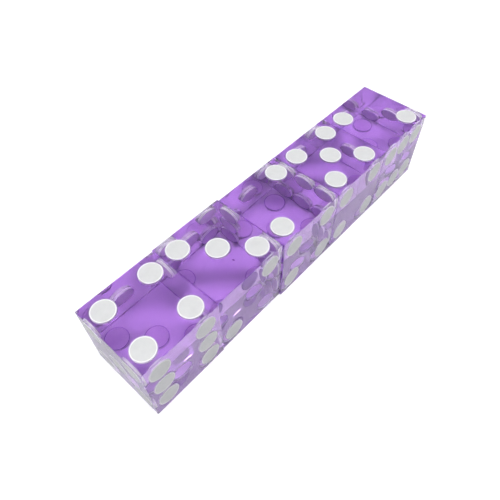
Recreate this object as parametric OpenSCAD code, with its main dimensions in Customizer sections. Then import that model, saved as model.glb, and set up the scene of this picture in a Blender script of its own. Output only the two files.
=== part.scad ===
// Stick of five precision casino dice, set out in a row as they leave the box.
// Every die is a sharp-edged cube of clear purple plastic, with a blind pocket
// drilled for each of its 21 pips. Each pocket holds a hard white fill, which is
// ground flush with the face, so the die stays balanced.
//
// The row runs along +X from die 1 to die 5, and stands on Z = 0. The origin is
// at the centre of the resting face of die 3.

/* [Dice] */
// Length of every edge of a die
die_side = 19.05; // [16:0.05:25]
// Air gap between neighbouring dice in the row
die_gap = 0.05; // [0.05:0.01:0.5]
// Sideways offset of each die, as the row was pushed together by hand
row_jog = [0.20, 0.45, 0, -0.05, -0.10]; // [-0.6:0.05:0.6]

/* [Pips] */
// Diameter of a pip, as a share of the die's edge
pip_width = 0.273; // [0.18:0.001:0.28]
// Distance from a face's middle to its outer pips along each edge, as a share
pip_reach = 0.304; // [0.29:0.001:0.31]
// Depth of a drilled pocket and its fill
pip_depth = 0.7; // [0.3:0.05:0.75]

/* [Hidden] */
$fn = 48;
PIP_NODES = ["pip_one", "pips_two", "pips_three", "pips_four", "pips_five", "pips_six"];

half = die_side / 2;
pip_r = pip_width * die_side / 2;
pip_step = pip_reach * die_side;
bond_line = 0.01;      // radial clearance between a fill and its pocket
cut_over = 1;          // how far a drill starts above the face
middle_die = 3;

// How each die was set down: turns about X, then Y, then Z
die_turn = [[180, 0, 90], [0, 0, 180], [90, 0, 180], [-90, 0, 0], [90, 0, 90]];

// Turn that carries the +Z face to the face of each value. Opposite faces add
// up to seven, and 1, 2 and 3 run anticlockwise about their shared corner.
face_turn = [
    [0, 90, 0],      // one, on +X
    [-90, 0, 0],     // two, on +Y
    [0, 0, 0],       // three, on +Z
    [180, 0, 0],     // four, on -Z
    [90, 0, 0],      // five, on -Y
    [0, -90, 0]      // six, on -X
];

// Places of the pips on a face, in steps from its middle
corners = [for (u = [-1, 1], v = [-1, 1]) [u, v]];
spots = [
    [[0, 0]],
    [[-1, -1], [1, 1]],
    [[-1, 1], [0, 0], [1, -1]],
    corners,
    concat(corners, [[0, 0]]),
    [for (u = [-1, 0, 1], v = [-1, 1]) [u, v]]
];

// Puts a die's own parts, made about its centre, in its place in the row
module in_row(n) {
    along = (n - middle_die) * (die_side + die_gap);
    translate([along, row_jog[n - 1], half])
        rotate(die_turn[n - 1])
            children();
}

// Puts its children at each pip of one face, with Z = 0 on the face
module at_pips(value) {
    rotate(face_turn[value - 1])
        for (spot = spots[value - 1])
            translate([spot[0] * pip_step, spot[1] * pip_step, half])
                children();
}

// One blind flat-bottomed pocket, cut from above the face
module pip_pocket() {
    translate([0, 0, -pip_depth])
        cylinder(h = pip_depth + cut_over, r = pip_r + bond_line);
}

// One fill, flush with the face
module pip_fill() {
    translate([0, 0, -pip_depth])
        cylinder(h = pip_depth, r = pip_r);
}

// Cube of clear plastic with its 21 pockets
module die_block(n) {
    color([0.58, 0.38, 0.82, 0.6])
        in_row(n)
            difference() {
                cube(die_side, center = true);
                for (value = [1:6])
                    at_pips(value)
                        pip_pocket();
            }
}

// All the fills on one face
module die_pips(n, value) {
    color([0.93, 0.93, 0.92])
        in_row(n)
            at_pips(value)
                pip_fill();
}

for (n = [1:5]) {
    die_block(n);
    for (value = [1:6])
        die_pips(n, value);
}
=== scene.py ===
import math

import bmesh
import bpy
from mathutils import Matrix, Vector


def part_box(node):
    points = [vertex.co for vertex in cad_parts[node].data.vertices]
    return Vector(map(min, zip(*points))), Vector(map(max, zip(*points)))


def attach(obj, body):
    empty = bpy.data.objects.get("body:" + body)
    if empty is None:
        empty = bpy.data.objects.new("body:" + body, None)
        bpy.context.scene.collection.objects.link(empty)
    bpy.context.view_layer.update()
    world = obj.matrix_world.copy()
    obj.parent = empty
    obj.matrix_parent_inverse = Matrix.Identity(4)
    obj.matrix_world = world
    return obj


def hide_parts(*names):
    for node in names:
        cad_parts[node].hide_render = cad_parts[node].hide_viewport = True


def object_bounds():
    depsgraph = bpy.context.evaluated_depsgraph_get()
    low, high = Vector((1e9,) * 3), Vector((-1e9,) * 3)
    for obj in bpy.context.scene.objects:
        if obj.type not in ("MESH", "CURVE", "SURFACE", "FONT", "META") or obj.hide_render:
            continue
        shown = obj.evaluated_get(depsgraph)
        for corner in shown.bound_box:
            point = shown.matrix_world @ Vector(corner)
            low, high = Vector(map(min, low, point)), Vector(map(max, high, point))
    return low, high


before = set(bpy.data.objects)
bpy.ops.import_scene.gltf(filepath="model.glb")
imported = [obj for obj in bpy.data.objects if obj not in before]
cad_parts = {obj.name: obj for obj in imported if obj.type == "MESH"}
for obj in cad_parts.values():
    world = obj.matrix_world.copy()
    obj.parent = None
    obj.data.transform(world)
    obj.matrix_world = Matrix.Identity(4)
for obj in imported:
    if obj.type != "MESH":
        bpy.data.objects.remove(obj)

scene = bpy.context.scene
cad_low, cad_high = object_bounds()

# ---------------------------------------------------------------------------
# Camera
# Held by hand just past the near end of the row and to the right of it, and
# tilted steeply down, so the far dice shrink a little towards the top.
# ---------------------------------------------------------------------------
camera_stand = Vector((-0.05812, -0.04500, 0.08715))  # from the middle of the row
camera_heading = math.radians(-47.17)
camera_tilt = math.radians(37.09)      # from straight down
camera_roll = math.radians(-0.80)
camera_sensor = 36.0     # millimetres
camera_lens = 34.27      # millimetres

camera_data = bpy.data.cameras.new("table_camera")
camera_data.sensor_width = camera_sensor
camera_data.lens = camera_lens
camera_data.clip_start = 0.001
camera_data.clip_end = 20.0
camera = bpy.data.objects.new("table_camera", camera_data)
scene.collection.objects.link(camera)
row_middle = (cad_low + cad_high) / 2
camera.matrix_world = (
    Matrix.Translation(row_middle + camera_stand)
    @ Matrix.Rotation(camera_heading, 4, "Z")
    @ Matrix.Rotation(camera_tilt, 4, "X")
    @ Matrix.Rotation(camera_roll, 4, "Z")
)
scene.camera = camera

# ---------------------------------------------------------------------------
# Clear blocks
# Each die is sawn from clear purple cellulose acetate, milled true with sharp
# edges and polished. Its 21 shallow flat-bottomed pockets are drilled next.
# ---------------------------------------------------------------------------
MM = 0.001
VALUE_NAMES = ["one", "two", "three", "four", "five", "six"]
PIP_NODES = ["pip_one", "pips_two", "pips_three", "pips_four", "pips_five", "pips_six"]
DICE = range(1, 6)

block_low, block_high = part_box("die_3_block")
die_side = (block_high.z - block_low.z) / MM
pip_low, pip_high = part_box("die_3_pip_one")
pip_diameter = (pip_high.z - pip_low.z) / MM
pip_depth = (pip_high.x - pip_low.x) / MM
four_low, four_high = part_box("die_3_pips_four")
pip_step = ((four_high.z - four_low.z) / MM - pip_diameter) / 2

edge_break = 0.06        # flat left where two polished faces meet
pocket_segments = 72
weld_reach = 0.0001      # corners of neighbouring faces closer than this are one corner
sharp_angle = math.radians(30)

# How each die lies, as turns about X, then Y, then Z
die_turns = {1: (180, 0, 90), 2: (0, 0, 180), 3: (90, 0, 180), 4: (-90, 0, 0), 5: (90, 0, 90)}
# Turn that carries the +Z face to the face of each value
face_turns = [(0, 90, 0), (-90, 0, 0), (0, 0, 0), (180, 0, 0), (90, 0, 0), (0, -90, 0)]
corners = [(-1, -1), (-1, 1), (1, -1), (1, 1)]
face_spots = [
    [(0, 0)],
    [(-1, -1), (1, 1)],
    [(-1, 1), (0, 0), (1, -1)],
    corners,
    corners + [(0, 0)],
    [(u, v) for u in (-1, 0, 1) for v in (-1, 1)],
]


def turn_matrix(turn):
    x, y, z = (math.radians(angle) for angle in turn)
    return Matrix.Rotation(z, 4, "Z") @ Matrix.Rotation(y, 4, "Y") @ Matrix.Rotation(x, 4, "X")


def face_matrix(value):
    """Carries a face drawn at Z = 0 to its place on a die about the origin."""
    return turn_matrix(face_turns[value - 1]) @ Matrix.Translation((0, 0, die_side / 2))


def row_matrix(die):
    """Carries a die in millimetres about the origin to its place in the row."""
    low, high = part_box(f"die_{die}_block")
    return Matrix.Translation((low + high) / 2) @ Matrix.Scale(MM, 4) @ turn_matrix(die_turns[die])


def edges_at(verts):
    """Each edge that meets one of these corners, once and always in the same order."""
    return list(dict.fromkeys(edge for vert in verts for edge in vert.link_edges))


def add_drilled_face(bm, value):
    """One polished face of the cube, with its pockets sunk behind it and mapped in millimetres."""
    face_map = bm.loops.layers.uv.verify()
    before = set(bm.verts)
    plate = bmesh.ops.create_grid(bm, x_segments=1, y_segments=1, size=die_side / 2)
    outline = edges_at(plate["verts"])
    bmesh.ops.delete(bm, geom=list(plate["verts"][0].link_faces), context="FACES_ONLY")
    rims = []
    for u, v in face_spots[value - 1]:
        place = Matrix.Translation((u * pip_step, v * pip_step, 0))
        ring = bmesh.ops.create_circle(
            bm, segments=pocket_segments, radius=pip_diameter / 2, matrix=place
        )
        rims.append(edges_at(ring["verts"]))
    outline.extend(edge for rim in rims for edge in rim)
    bmesh.ops.triangle_fill(bm, use_beauty=True, use_dissolve=False, edges=outline)
    for rim in rims:
        wall = bmesh.ops.extrude_edge_only(bm, edges=rim)["geom"]
        for face in (part for part in wall if isinstance(part, bmesh.types.BMFace)):
            face.smooth = True
        floor_verts = [part for part in wall if isinstance(part, bmesh.types.BMVert)]
        bmesh.ops.translate(bm, verts=floor_verts, vec=(0, 0, -pip_depth))
        floor_edges = [
            edge for edge in edges_at(floor_verts) if all(vert in floor_verts for vert in edge.verts)
        ]
        bmesh.ops.contextual_create(bm, geom=floor_edges)
    new_verts = [vert for vert in bm.verts if vert not in before]
    for face in {face for vert in new_verts for face in vert.link_faces}:
        for loop in face.loops:
            loop[face_map].uv = loop.vert.co.xy
    bmesh.ops.transform(bm, matrix=face_matrix(value), verts=new_verts)


def mark_sharp(bm):
    for edge in bm.edges:
        if len(edge.link_faces) == 2 and edge.calc_face_angle() > sharp_angle:
            edge.smooth = False


def to_object(bm, name, map_name):
    """Puts a finished shape in the scene, with its map under the name its material asks for."""
    mesh = bpy.data.meshes.new(name)
    bm.to_mesh(mesh)
    bm.free()
    mesh.uv_layers[0].name = map_name
    piece = bpy.data.objects.new(name, mesh)
    scene.collection.objects.link(piece)
    return piece


def make_block(die):
    """Six drilled faces joined into a cube, with its twelve edges broken."""
    bm = bmesh.new()
    for value in range(1, 7):
        add_drilled_face(bm, value)
    bmesh.ops.remove_doubles(bm, verts=bm.verts, dist=weld_reach)
    bmesh.ops.recalc_face_normals(bm, faces=bm.faces)
    cube_edges = [edge for edge in bm.edges if abs(edge.calc_length() - die_side) < weld_reach * 10]
    bmesh.ops.bevel(
        bm, geom=cube_edges, affect="EDGES", offset=edge_break, segments=2, profile=0.5, material=-1
    )
    mark_sharp(bm)
    bmesh.ops.transform(bm, matrix=row_matrix(die), verts=bm.verts)
    return to_object(bm, f"clear_block_{die}", "face_map")


def add_node(tree, kind, inputs=None, **settings):
    """Adds a shader node; an input is either a value or the socket that feeds it."""
    made = tree.nodes.new("ShaderNode" + kind)
    for name, value in settings.items():
        setattr(made, name, value)
    for name, value in (inputs or {}).items():
        if isinstance(value, bpy.types.NodeSocket):
            tree.links.new(value, made.inputs[name])
        else:
            made.inputs[name].default_value = value
    return made


def start_group(name, inputs, output):
    """A shared effect with named inputs and one named output."""
    group = bpy.data.node_groups.new(name, "ShaderNodeTree")
    for label, kind in inputs.items():
        group.interface.new_socket(label, in_out="INPUT", socket_type="NodeSocket" + kind)
    group.interface.new_socket(output, in_out="OUTPUT", socket_type="NodeSocketFloat")
    entry = group.nodes.new("NodeGroupInput")
    return group, entry.outputs


def end_group(group, socket):
    group.links.new(socket, group.nodes.new("NodeGroupOutput").inputs[0])
    return group


hairline_stretch = (0.025, 1.0, 1.0)   # grain drawn out forty times along the stroke
hairline_width = 0.012                 # share of the grain that is cut
rubbed_from = 0.52
rubbed_to = 0.68


def hairlines_group():
    """Thin straight scratches that run one way, thick in some patches and rare in others."""
    group, given = start_group(
        "hairlines",
        {"Position": "Vector", "Turn": "Vector", "Spacing": "Float", "Patches": "Float"}, "Mask"
    )
    turned = add_node(group, "VectorRotate", {"Vector": given["Position"], "Rotation": given["Turn"]},
                      rotation_type="EULER_XYZ")
    drawn_out = add_node(group, "VectorMath", {0: turned.outputs["Vector"], 1: hairline_stretch},
                         operation="MULTIPLY")
    grain = add_node(group, "TexNoise", {
        "Vector": drawn_out.outputs["Vector"], "Scale": given["Spacing"], "Detail": 1.0, "Distortion": 0.15})
    off_middle = add_node(group, "Math", {0: grain.outputs["Fac"], 1: 0.5}, operation="SUBTRACT")
    away = add_node(group, "Math", {0: off_middle.outputs["Value"]}, operation="ABSOLUTE")
    line = add_node(group, "MapRange", {
        "Value": away.outputs["Value"], "From Min": 0.0, "From Max": hairline_width,
        "To Min": 1.0, "To Max": 0.0}, interpolation_type="SMOOTHSTEP")
    patch = add_node(group, "TexNoise", {
        "Vector": given["Position"], "Scale": given["Patches"], "Detail": 2.0})
    rubbed = add_node(group, "MapRange", {
        "Value": patch.outputs["Fac"], "From Min": rubbed_from, "From Max": rubbed_to},
        interpolation_type="SMOOTHSTEP")
    both = add_node(group, "Math", {0: line.outputs["Result"], 1: rubbed.outputs["Result"]},
                    operation="MULTIPLY")
    return end_group(group, both.outputs["Value"])


def cloud_group():
    """A soft uneven tone between two values."""
    group, given = start_group(
        "cloud", {"Position": "Vector", "Grain": "Float", "Low": "Float", "High": "Float"}, "Tone"
    )
    noise = add_node(group, "TexNoise", {
        "Vector": given["Position"], "Scale": given["Grain"], "Detail": 4.0, "Roughness": 0.6})
    tone = add_node(group, "MapRange", {
        "Value": noise.outputs["Fac"], "From Min": 0.3, "From Max": 0.7,
        "To Min": given["Low"], "To Max": given["High"]})
    return end_group(group, tone.outputs["Result"])


hairlines = hairlines_group()
cloud = cloud_group()


def add_effect(tree, group, **inputs):
    """Places a shared effect in a material and gives back its one output."""
    made = add_node(tree, "Group", node_tree=group)
    for name, value in inputs.items():
        if isinstance(value, bpy.types.NodeSocket):
            tree.links.new(value, made.inputs[name])
        else:
            made.inputs[name].default_value = value
    return made.outputs[0]


plastic_index = 1.48
face_tone = (0.98, 0.97, 1.0, 1)
# painted shade: the dark purple that the edge band is tinted with
edge_wear_shade_tone = (0.38, 0.24, 0.55, 1)
worn_shaded_width = 0.26     # millimetres in from the edge, where the wear and the painted edge shade begin
worn_shaded_core = 0.03      # millimetres in from the edge, where it is at its full
dye_colour = (0.655, 0.28, 0.87, 1)
dye_density = 50.0
first_stroke = (0.5, 0.4, 0.7)
other_stroke = (-0.6, 0.9, -0.4)
skin_relief = 0.00001    # metres

second_low, second_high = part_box("die_2_block")
nick_place = Vector((second_low.x + 0.00947, second_low.y + 0.00493, second_high.z))
nick_turn = math.radians(-67)
nick_reach = (0.00032, 0.00018, 0.00018)
nick_dirt = (0.10, 0.03, 0.16, 1)


def plastic_material():
    """Clear dyed plastic, polished and then handled, with painted shade along its edges."""
    material = bpy.data.materials.new("clear_purple_acetate")
    material.use_nodes = True
    tree = material.node_tree
    shader = tree.nodes["Principled BSDF"]
    shader.inputs["Transmission Weight"].default_value = 1.0
    shader.inputs["IOR"].default_value = plastic_index
    position = add_node(tree, "TexCoord").outputs["Object"]

    # The last edge of each face is rubbed dull where the dice knock together, and the same band carries
    # painted shade
    face_map = add_node(tree, "UVMap", uv_map="face_map")
    sides = add_node(tree, "SeparateXYZ", {"Vector": face_map.outputs["UV"]})
    across = add_node(tree, "Math", {0: sides.outputs["X"]}, operation="ABSOLUTE")
    along = add_node(tree, "Math", {0: sides.outputs["Y"]}, operation="ABSOLUTE")
    outward = add_node(tree, "Math", {0: across.outputs["Value"], 1: along.outputs["Value"]},
                       operation="MAXIMUM")
    wavering = add_effect(tree, cloud, Position=position, Grain=900.0, Low=-0.16, High=0.06)
    reach = add_node(tree, "Math", {0: outward.outputs["Value"], 1: wavering}, operation="ADD")
    worn_shaded_edges = add_node(tree, "MapRange", {
        "Value": reach.outputs["Value"], "From Min": die_side / 2 - worn_shaded_width,
        "From Max": die_side / 2 - worn_shaded_core}, interpolation_type="SMOOTHSTEP")

    # Polishing leaves hairlines two ways, and handling leaves a faint uneven film
    first_way = add_effect(tree, hairlines, Position=position, Turn=first_stroke,
                           Spacing=2600.0, Patches=140.0)
    other_way = add_effect(tree, hairlines, Position=position, Turn=other_stroke,
                           Spacing=3100.0, Patches=110.0)
    scratches = add_node(tree, "Math", {0: first_way, 1: other_way}, operation="MAXIMUM")
    film = add_effect(tree, cloud, Position=position, Grain=170.0, Low=-0.01, High=0.018)

    scratched = add_node(tree, "MapRange", {
        "Value": scratches.outputs["Value"], "To Min": 0.0, "To Max": 0.10})
    knocked = add_node(tree, "MapRange", {
        "Value": worn_shaded_edges.outputs["Result"], "To Min": 0.0, "To Max": 0.30})
    marked = add_node(tree, "Math", {0: scratched.outputs["Result"], 1: knocked.outputs["Result"]},
                      operation="ADD")
    rough = add_node(tree, "Math", {0: marked.outputs["Value"], 1: film}, operation="ADD",
                     use_clamp=True)
    tree.links.new(rough.outputs["Value"], shader.inputs["Roughness"])

    depth = add_node(tree, "Math", {0: scratches.outputs["Value"], 1: -1.0}, operation="MULTIPLY")
    relief = add_node(tree, "Bump", {
        "Height": depth.outputs["Value"], "Strength": 0.25, "Distance": skin_relief})
    tree.links.new(relief.outputs["Normal"], shader.inputs["Normal"])

    # Painted shade: the edge band is tinted dark purple, standing in for the dark lines along edges and
    # seams
    tone = add_node(tree, "MixRGB", {
        "Fac": worn_shaded_edges.outputs["Result"], "Color1": face_tone, "Color2": edge_wear_shade_tone})

    # A small nick in the top of the second die has filled with dark dirt
    nick = add_node(tree, "Mapping", {
        "Vector": position, "Location": nick_place, "Rotation": (0, 0, nick_turn),
        "Scale": nick_reach}, vector_type="TEXTURE")
    from_nick = add_node(tree, "VectorMath", {0: nick.outputs["Vector"]}, operation="LENGTH")
    dirt = add_node(tree, "MapRange", {
        "Value": from_nick.outputs["Value"], "From Min": 0.5, "From Max": 1.3,
        "To Min": 1.0, "To Max": 0.0}, interpolation_type="SMOOTHSTEP")
    dirty = add_node(tree, "MixRGB", {
        "Fac": dirt.outputs["Result"], "Color1": tone.outputs["Color"], "Color2": nick_dirt})
    tree.links.new(dirty.outputs["Color"], shader.inputs["Base Color"])

    dye = add_node(tree, "VolumeAbsorption", {"Color": dye_colour, "Density": dye_density})
    tree.links.new(dye.outputs["Volume"], tree.nodes["Material Output"].inputs["Volume"])
    return material


clear_purple = plastic_material()
for die in DICE:
    block = make_block(die)
    block.data.materials.append(clear_purple)
    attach(block, f"die_{die}")
    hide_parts(f"die_{die}_block")

# ---------------------------------------------------------------------------
# Pip fills
# The pockets are filled with hard white resin of the plastic's own density, so
# the die stays balanced, and the whole face is then ground flush.
# ---------------------------------------------------------------------------
bond_overlap = 0.012     # the fill wets the pocket, with no air behind it
fill_dish = 0.006        # the softer fill polishes a hair below the face
mouth_reach = 1.27       # the map of a fill runs on from its floor up the wall to here


def make_fill(die, value):
    """The fills of one face: short plugs, each with its ground face and its sealed wall and floor."""
    bm = bmesh.new()
    pip_map = bm.loops.layers.uv.verify()
    radius = pip_diameter / 2 + bond_overlap
    for u, v in face_spots[value - 1]:
        disc = bmesh.ops.create_circle(
            bm, cap_ends=True, segments=pocket_segments, radius=radius,
            matrix=Matrix.Translation((0, 0, -fill_dish))
        )
        top = disc["verts"][0].link_faces[0]
        grown = bmesh.ops.extrude_face_region(bm, geom=[top])["geom"]
        lower = [part for part in grown if isinstance(part, bmesh.types.BMVert)]
        bmesh.ops.translate(bm, verts=lower, vec=(0, 0, -(pip_depth + bond_overlap - fill_dish)))
        plug = disc["verts"] + lower
        for face in {face for vert in plug for face in vert.link_faces}:
            for loop in face.loops:
                at_mouth = len(face.verts) == 4 and loop.vert not in lower
                loop[pip_map].uv = loop.vert.co.xy / radius * (mouth_reach if at_mouth else 1.0)
        bmesh.ops.translate(bm, verts=plug, vec=(u * pip_step, v * pip_step, 0))
    bmesh.ops.recalc_face_normals(bm, faces=bm.faces)
    for face in bm.faces:
        face.smooth = len(face.verts) == 4
        is_ground_face = face.normal.z > math.cos(sharp_angle)
        face.material_index = 0 if is_ground_face else 1
    mark_sharp(bm)
    bmesh.ops.transform(bm, matrix=face_matrix(value), verts=bm.verts)
    bmesh.ops.transform(bm, matrix=row_matrix(die), verts=bm.verts)
    return to_object(bm, f"fill_{die}_{VALUE_NAMES[value - 1]}", "pip_map")


def ring_group():
    """One on a ring about the pip's middle, soft within its reach on either side, nought elsewhere."""
    group, given = start_group(
        "ring", {"Map": "Vector", "Radius": "Float", "Reach": "Float"}, "Mask"
    )
    out = add_node(group, "VectorMath", {0: given["Map"]}, operation="LENGTH")
    off = add_node(group, "Math", {0: out.outputs["Value"], 1: given["Radius"]}, operation="SUBTRACT")
    away = add_node(group, "Math", {0: off.outputs["Value"]}, operation="ABSOLUTE")
    share = add_node(group, "Math", {0: away.outputs["Value"], 1: given["Reach"]},
                     operation="DIVIDE")
    mask = add_node(group, "MapRange", {
        "Value": share.outputs["Value"], "From Min": 0.4, "From Max": 1.0,
        "To Min": 1.0, "To Max": 0.0}, interpolation_type="SMOOTHSTEP")
    return end_group(group, mask.outputs["Result"])


ring = ring_group()
# Painted highlight: a pale ring just inside the edge of each ground face
rim_highlight_tone = (0.74, 0.74, 0.74, 1)
# Painted shadow: a dark line round the edge of each ground face
outline_shade_tone = (0.30, 0.22, 0.36, 1)
# Painted shade: dark lines where the sealed floor meets the wall and at the wall's mouth
rim_shade_tone = (0.26, 0.15, 0.38, 1)
stained_floor_tones = ((0.93, 0.84, 0.95, 1), (1.0, 0.92, 1.0, 1))
clean_wall_tone = (0.98, 0.98, 0.98, 1)
sealed_roughness = 0.5


def start_resin(name, low, high):
    """What both resin finishes start from: a slightly uneven tone and the map of the fill."""
    material = bpy.data.materials.new(name)
    material.use_nodes = True
    tree = material.node_tree
    position = add_node(tree, "TexCoord").outputs["Object"]
    pip_map = add_node(tree, "UVMap", uv_map="pip_map").outputs["UV"]
    tone = add_effect(tree, cloud, Position=position, Grain=700.0, Low=low, High=high)
    return material, tree, position, pip_map, tone


def ground_resin_material():
    """The face that is ground flush: even pale grey, with a painted highlight ring inside its edge and a
    painted shadow line round it.
    """
    material, tree, position, pip_map, tone = start_resin("ground_pip_resin", 0.52, 0.56)
    shader = tree.nodes["Principled BSDF"]
    # Painted highlight ring, then a painted shadow line at the very edge
    rim_highlight = add_effect(tree, ring, Map=pip_map, Radius=0.94, Reach=0.07)
    rim_highlighted = add_node(tree, "MixRGB", {"Fac": rim_highlight, "Color1": tone, "Color2": rim_highlight_tone})
    outline_shade = add_effect(tree, ring, Map=pip_map, Radius=1.0, Reach=0.035)
    shade_lined = add_node(tree, "MixRGB", {
        "Fac": outline_shade, "Color1": rim_highlighted.outputs["Color"], "Color2": outline_shade_tone})
    tree.links.new(shade_lined.outputs["Color"], shader.inputs["Base Color"])
    scratches = add_effect(tree, hairlines, Position=position, Turn=first_stroke,
                           Spacing=2600.0, Patches=300.0)
    gloss = add_effect(tree, cloud, Position=position, Grain=1500.0, Low=0.30, High=0.46)
    tree.links.new(gloss, shader.inputs["Roughness"])
    grit = add_effect(tree, cloud, Position=position, Grain=5000.0, Low=0.0, High=1.0)
    worn = add_node(tree, "Math", {0: grit, 1: scratches}, operation="SUBTRACT")
    relief = add_node(tree, "Bump", {
        "Height": worn.outputs["Value"], "Strength": 0.35, "Distance": skin_relief})
    tree.links.new(relief.outputs["Normal"], shader.inputs["Normal"])
    return material


def sealed_resin_material():
    """A clean wall and a floor stained by the dye, behind the plastic, with painted shade as a dark line at
    each rim.
    """
    material, tree, position, pip_map, tone = start_resin("sealed_pip_resin", 0.0, 1.0)
    shader = tree.nodes["Principled BSDF"]
    # Painted shade: dark rings at the floor's edge and at the wall's mouth
    corner = add_effect(tree, ring, Map=pip_map, Radius=0.98, Reach=0.04)
    mouth_shade = add_effect(tree, ring, Map=pip_map, Radius=mouth_reach, Reach=0.02)
    rims = add_node(tree, "Math", {0: corner, 1: mouth_shade}, operation="MAXIMUM")
    out = add_node(tree, "VectorMath", {0: pip_map}, operation="LENGTH").outputs["Value"]
    on_wall = add_node(tree, "MapRange", {"Value": out, "From Min": 0.97, "From Max": 1.03})
    stain = add_node(tree, "MixRGB", {
        "Fac": tone, "Color1": stained_floor_tones[0], "Color2": stained_floor_tones[1]})
    white = add_node(tree, "MixRGB", {
        "Fac": on_wall.outputs["Result"], "Color1": stain.outputs["Color"],
        "Color2": clean_wall_tone})
    shade_lined = add_node(tree, "MixRGB", {
        "Fac": rims.outputs["Value"], "Color1": white.outputs["Color"],
        "Color2": rim_shade_tone})
    tree.links.new(shade_lined.outputs["Color"], shader.inputs["Base Color"])
    shader.inputs["Roughness"].default_value = sealed_roughness
    return material


ground_resin = ground_resin_material()
sealed_resin = sealed_resin_material()
for die in DICE:
    for value in range(1, 7):
        fill = make_fill(die, value)
        fill.data.materials.append(ground_resin)
        fill.data.materials.append(sealed_resin)
        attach(fill, f"die_{die}")
        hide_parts(f"die_{die}_{PIP_NODES[value - 1]}")

# ---------------------------------------------------------------------------
# Table
# The row stands on a wide sheet of plain white paper with a matt surface. Bare
# paper shows a little brighter to the eye than it lights the dice.
# ---------------------------------------------------------------------------
floor_gap = 0.00002      # the dice touch a real table at a few points only
table_half_side = 1.5
paper_tone = (0.72, 0.72, 0.72, 1)
paper_roughness = 0.9
paper_lift = 0.25        # how much brighter the bare paper shows

bm = bmesh.new()
bmesh.ops.create_grid(bm, x_segments=1, y_segments=1, size=table_half_side)
bmesh.ops.translate(bm, verts=bm.verts, vec=(0, 0, cad_low.z - floor_gap))
table_mesh = bpy.data.meshes.new("table_top")
bm.to_mesh(table_mesh)
bm.free()
table = bpy.data.objects.new("table_top", table_mesh)
scene.collection.objects.link(table)
paper = bpy.data.materials.new("white_paper")
paper.use_nodes = True
paper_shader = paper.node_tree.nodes["Principled BSDF"]
paper_shader.inputs["Base Color"].default_value = paper_tone
paper_shader.inputs["Roughness"].default_value = paper_roughness
paper_shader.inputs["Specular IOR Level"].default_value = 0.0
paper_shader.inputs["Emission Color"].default_value = (1, 1, 1, 1)
seen = add_node(paper.node_tree, "LightPath").outputs["Is Camera Ray"]
glow = add_node(paper.node_tree, "Math", {0: seen, 1: paper_lift}, operation="MULTIPLY")
paper.node_tree.links.new(glow.outputs["Value"], paper_shader.inputs["Emission Strength"])
table.data.materials.append(paper)

# ---------------------------------------------------------------------------
# Light
# A wide strip lamp with a diffuser hangs over the row, and two thin tubes beyond it
# put small glints in the side faces. The ceiling is pale and cool, and the walls
# are a little dimmer.
# ---------------------------------------------------------------------------
wall_strength = 0.32
ceiling_strength = 0.44
wall_top = 0.10          # rise at which the walls give way to the ceiling
ceiling_edge = 0.70
room_colour = (0.94, 0.97, 1.02, 1)
strip_middle = (-0.03, -0.04)
strip_reach = (0.42, 0.15)
strip_turn = -45
strip_softness = 0.25
strip_strength = 16.3
tube_middles = ((0.213, 0.3735), (0.343, 0.357))
tube_reach = (0.011, 0.0006)
tube_turn = -7
tube_softness = 0.3
tube_strength = 7.0
no_bound = 1000.0        # the outline of a lamp has no limit along Z
light_bounces = 24       # light crosses many polished faces before it leaves a row of clear dice

world = bpy.data.worlds.new("room_and_lamps")
scene.world = world
world.use_nodes = True
sky = world.node_tree
direction = add_node(sky, "TexCoord").outputs["Generated"]
height = add_node(sky, "SeparateXYZ", {"Vector": direction}).outputs["Z"]
room = add_node(sky, "MapRange", {
    "Value": height, "From Min": wall_top, "From Max": ceiling_edge,
    "To Min": wall_strength, "To Max": ceiling_strength}, interpolation_type="SMOOTHSTEP")
room_glow = sky.nodes["Background"]
room_glow.inputs["Color"].default_value = room_colour
sky.links.new(room.outputs["Result"], room_glow.inputs["Strength"])


def hang_lamp(light, middle, turn, reach, softness, strength):
    """Adds a lamp; its middle and half sizes are the X and Y parts of a unit step towards it."""
    local = add_node(sky, "Mapping", {
        "Vector": direction, "Location": (*middle, 0.0), "Rotation": (0, 0, math.radians(turn)),
        "Scale": (*reach, no_bound)}, vector_type="TEXTURE")
    away = add_node(sky, "VectorMath", {0: local.outputs["Vector"]}, operation="LENGTH")
    lamp = add_node(sky, "MapRange", {
        "Value": away.outputs["Value"], "From Min": 1 + softness, "From Max": 1 - softness,
        "To Min": 0.0, "To Max": strength}, interpolation_type="SMOOTHSTEP")
    return add_node(sky, "Math", {0: light, 1: lamp.outputs["Result"]}, operation="ADD").outputs["Value"]


light = hang_lamp(0.0, strip_middle, strip_turn, strip_reach, strip_softness, strip_strength)
for tube_middle in tube_middles:
    light = hang_lamp(light, tube_middle, tube_turn, tube_reach, tube_softness, tube_strength)
lamp_glow = add_node(sky, "Background", {"Color": (1, 1, 1, 1), "Strength": light})
both_glows = add_node(sky, "AddShader", {
    0: room_glow.outputs["Background"], 1: lamp_glow.outputs["Background"]})
sky.links.new(both_glows.outputs["Shader"], sky.nodes["World Output"].inputs["Surface"])

scene.view_settings.view_transform = "Standard"
scene.cycles.transmission_bounces = light_bounces
scene.cycles.max_bounces = light_bounces
scene.cycles.blur_glossy = 0.0
